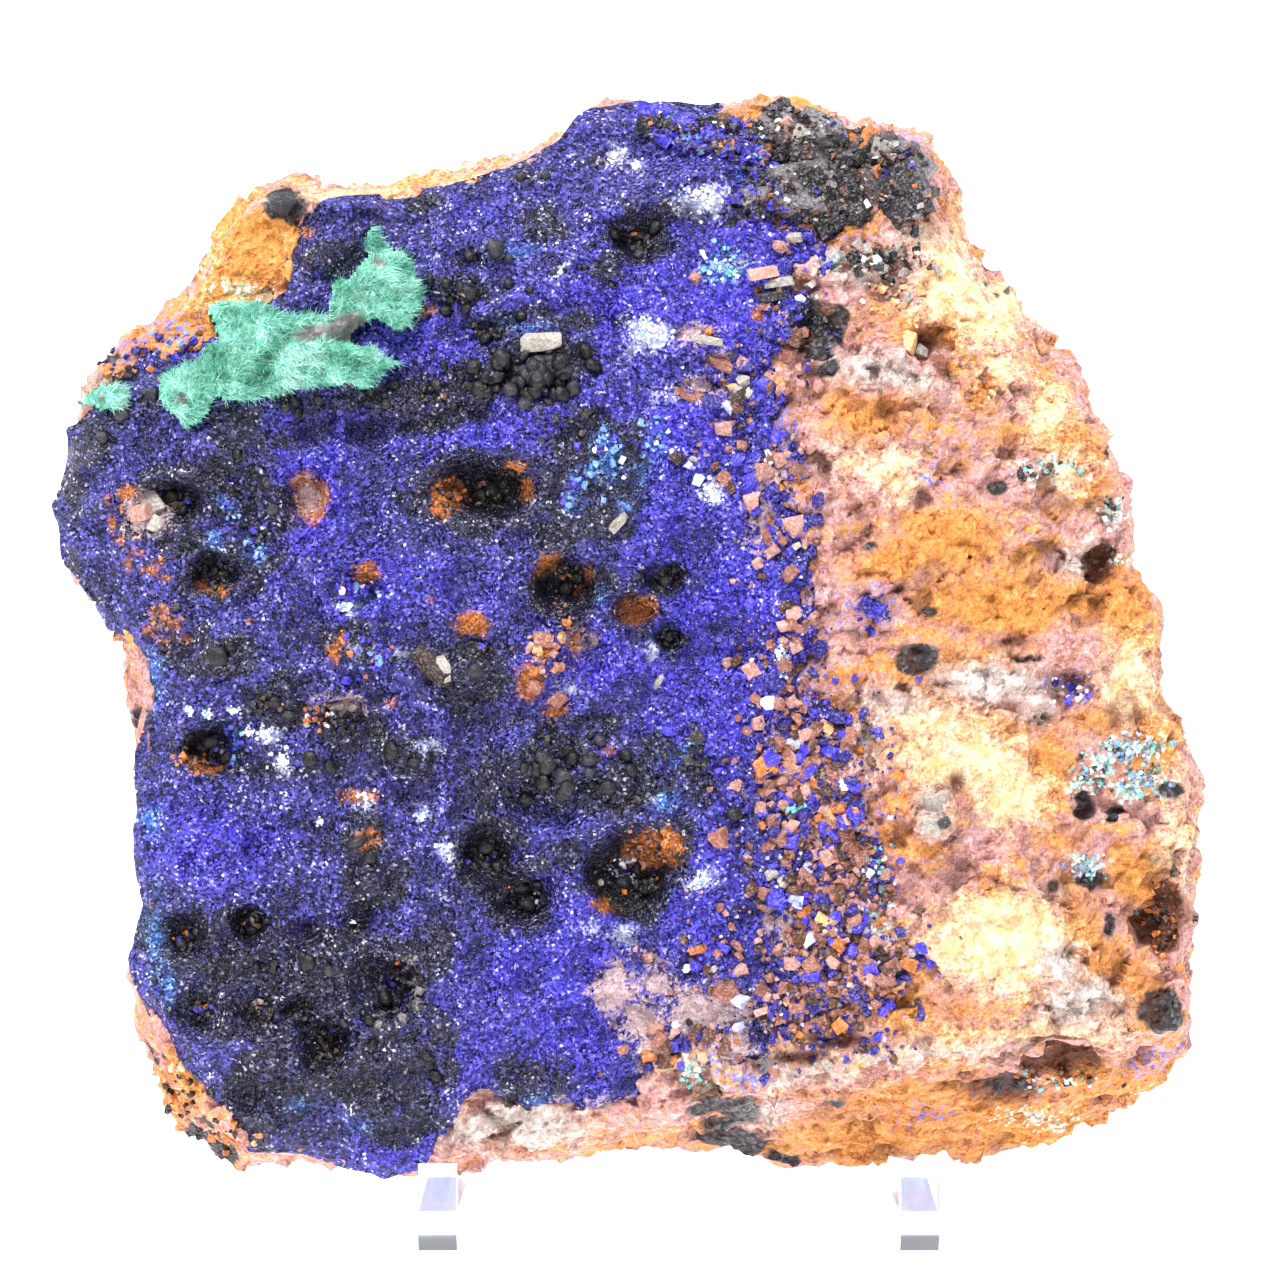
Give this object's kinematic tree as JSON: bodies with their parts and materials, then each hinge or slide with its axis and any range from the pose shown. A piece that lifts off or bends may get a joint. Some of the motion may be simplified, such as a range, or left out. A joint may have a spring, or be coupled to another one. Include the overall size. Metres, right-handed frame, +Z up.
{
  "type": "azurite mineral specimen on a display easel",
  "caption": "Palm-sized slab of rusty matrix rock with a face of blue azurite druse and green malachite, leaning on a clear A-frame easel.",
  "frame": {"origin": "on the ground, under the middle of the object's bounding box", "axes": "+Z up, the blue face looks towards -Y and leans back, +X to the right as seen from the front"},
  "size_m": [0.0744, 0.0668, 0.0887],
  "materials": {
    "matrix_rock": "broken limonite and quartz, rough",
    "azurite": "fine sparkling druse",
    "malachite": "silky fibres",
    "clear_acrylic": "polished, clear"
  },
  "bodies": {
    "root": {"matrix_rock": "matrix_rock", "azurite_crust": "azurite", "malachite_mat": "malachite", "malachite_rim_mat": "malachite", "display_stand": "clear_acrylic"}
  },
  "joints": []
}
